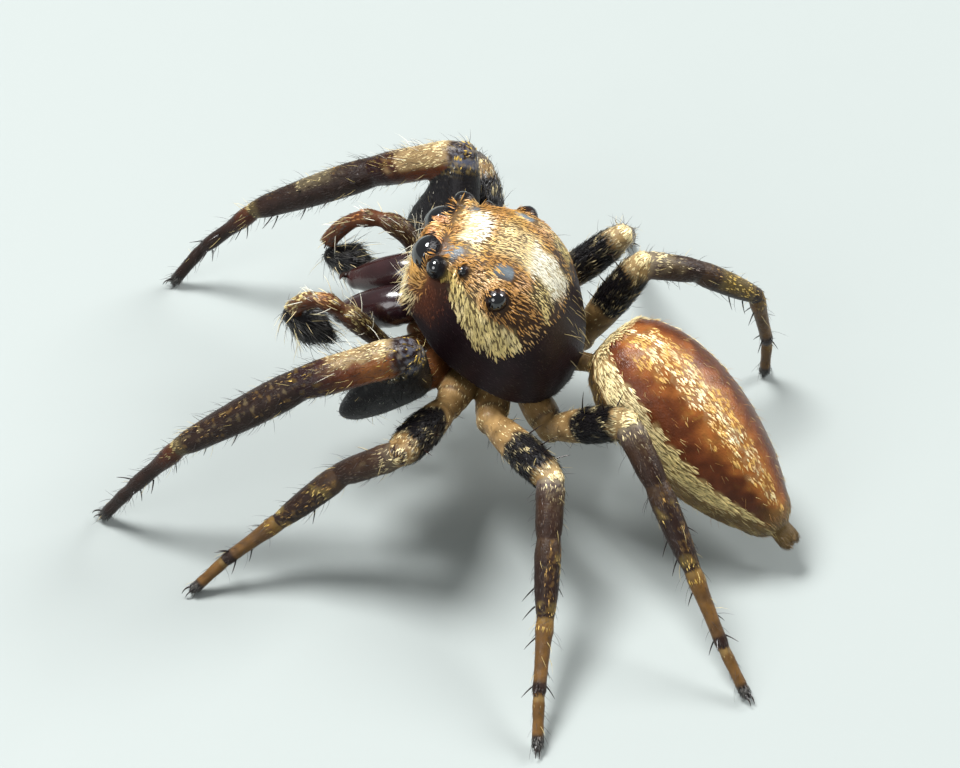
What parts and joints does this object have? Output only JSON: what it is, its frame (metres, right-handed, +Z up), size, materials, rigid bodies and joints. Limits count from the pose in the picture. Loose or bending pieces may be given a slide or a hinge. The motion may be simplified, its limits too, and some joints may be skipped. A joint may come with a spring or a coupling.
{
  "type": "jumping spider",
  "caption": "Still, life-size jumping spider standing with its legs spread, head raised and abdomen swung to one side, for display and scenes.",
  "frame": {"origin": "centre of the bounding box in X and Y, at floor level under the feet", "axes": "+Z up, the head points along -Y, +X is the animal's left side"},
  "size_m": [0.0096, 0.0088, 0.0034],
  "materials": {
    "shield": "hairy satin cuticle, red brown",
    "eye": "glossy black lens",
    "jaw": "glossy dark maroon cuticle",
    "tan": "satin pale tan cuticle",
    "abdomen": "hairy satin skin, chestnut",
    "dark": "hairy satin cuticle, near black",
    "red_brown": "satin red-brown cuticle",
    "amber": "hairy satin cuticle, amber",
    "feeler": "hairy satin cuticle, brown"
  },
  "bodies": {
    "root": {"abdomen": "abdomen", "eye_anterior_lateral_left": "eye", "eye_anterior_lateral_right": "eye", "eye_anterior_median_left": "eye", "eye_anterior_median_right": "eye", "eye_posterior_lateral_left": "eye", "eye_posterior_lateral_right": "eye", "eye_posterior_median_left": "eye", "eye_posterior_median_right": "eye", "feeler_left_arm": "feeler", "feeler_left_bulb": "dark", "feeler_right_arm": "feeler", "feeler_right_bulb": "dark", "head_shield": "shield", "jaw_left": "jaw", "jaw_right": "jaw", "leg_left_1_femur": "dark", "leg_left_1_metatarsus": "amber", "leg_left_1_patella": "red_brown", "leg_left_1_tarsus": "dark", "leg_left_1_tibia": "dark", "leg_left_2_femur": "dark", "leg_left_2_metatarsus": "amber", "leg_left_2_patella": "amber", "leg_left_2_tarsus": "amber", "leg_left_2_tibia": "dark", "leg_left_3_femur": "dark", "leg_left_3_metatarsus": "amber", "leg_left_3_patella": "amber", "leg_left_3_tarsus": "amber", "leg_left_3_tibia": "dark", "leg_left_4_femur": "dark", "leg_left_4_metatarsus": "amber", "leg_left_4_patella": "amber", "leg_left_4_tarsus": "amber", "leg_left_4_tibia": "dark", "leg_right_1_femur": "dark", "leg_right_1_metatarsus": "amber", "leg_right_1_patella": "red_brown", "leg_right_1_tarsus": "dark", "leg_right_1_tibia": "dark", "leg_right_2_femur": "dark", "leg_right_2_metatarsus": "amber", "leg_right_2_patella": "amber", "leg_right_2_tarsus": "amber", "leg_right_2_tibia": "dark", "leg_right_3_femur": "dark", "leg_right_3_metatarsus": "amber", "leg_right_3_patella": "amber", "leg_right_3_tarsus": "amber", "leg_right_3_tibia": "dark", "leg_right_4_femur": "dark", "leg_right_4_metatarsus": "amber", "leg_right_4_patella": "amber", "leg_right_4_tarsus": "amber", "leg_right_4_tibia": "dark", "spinnerets": "dark", "underside": "tan", "waist": "tan"}
  },
  "joints": []
}
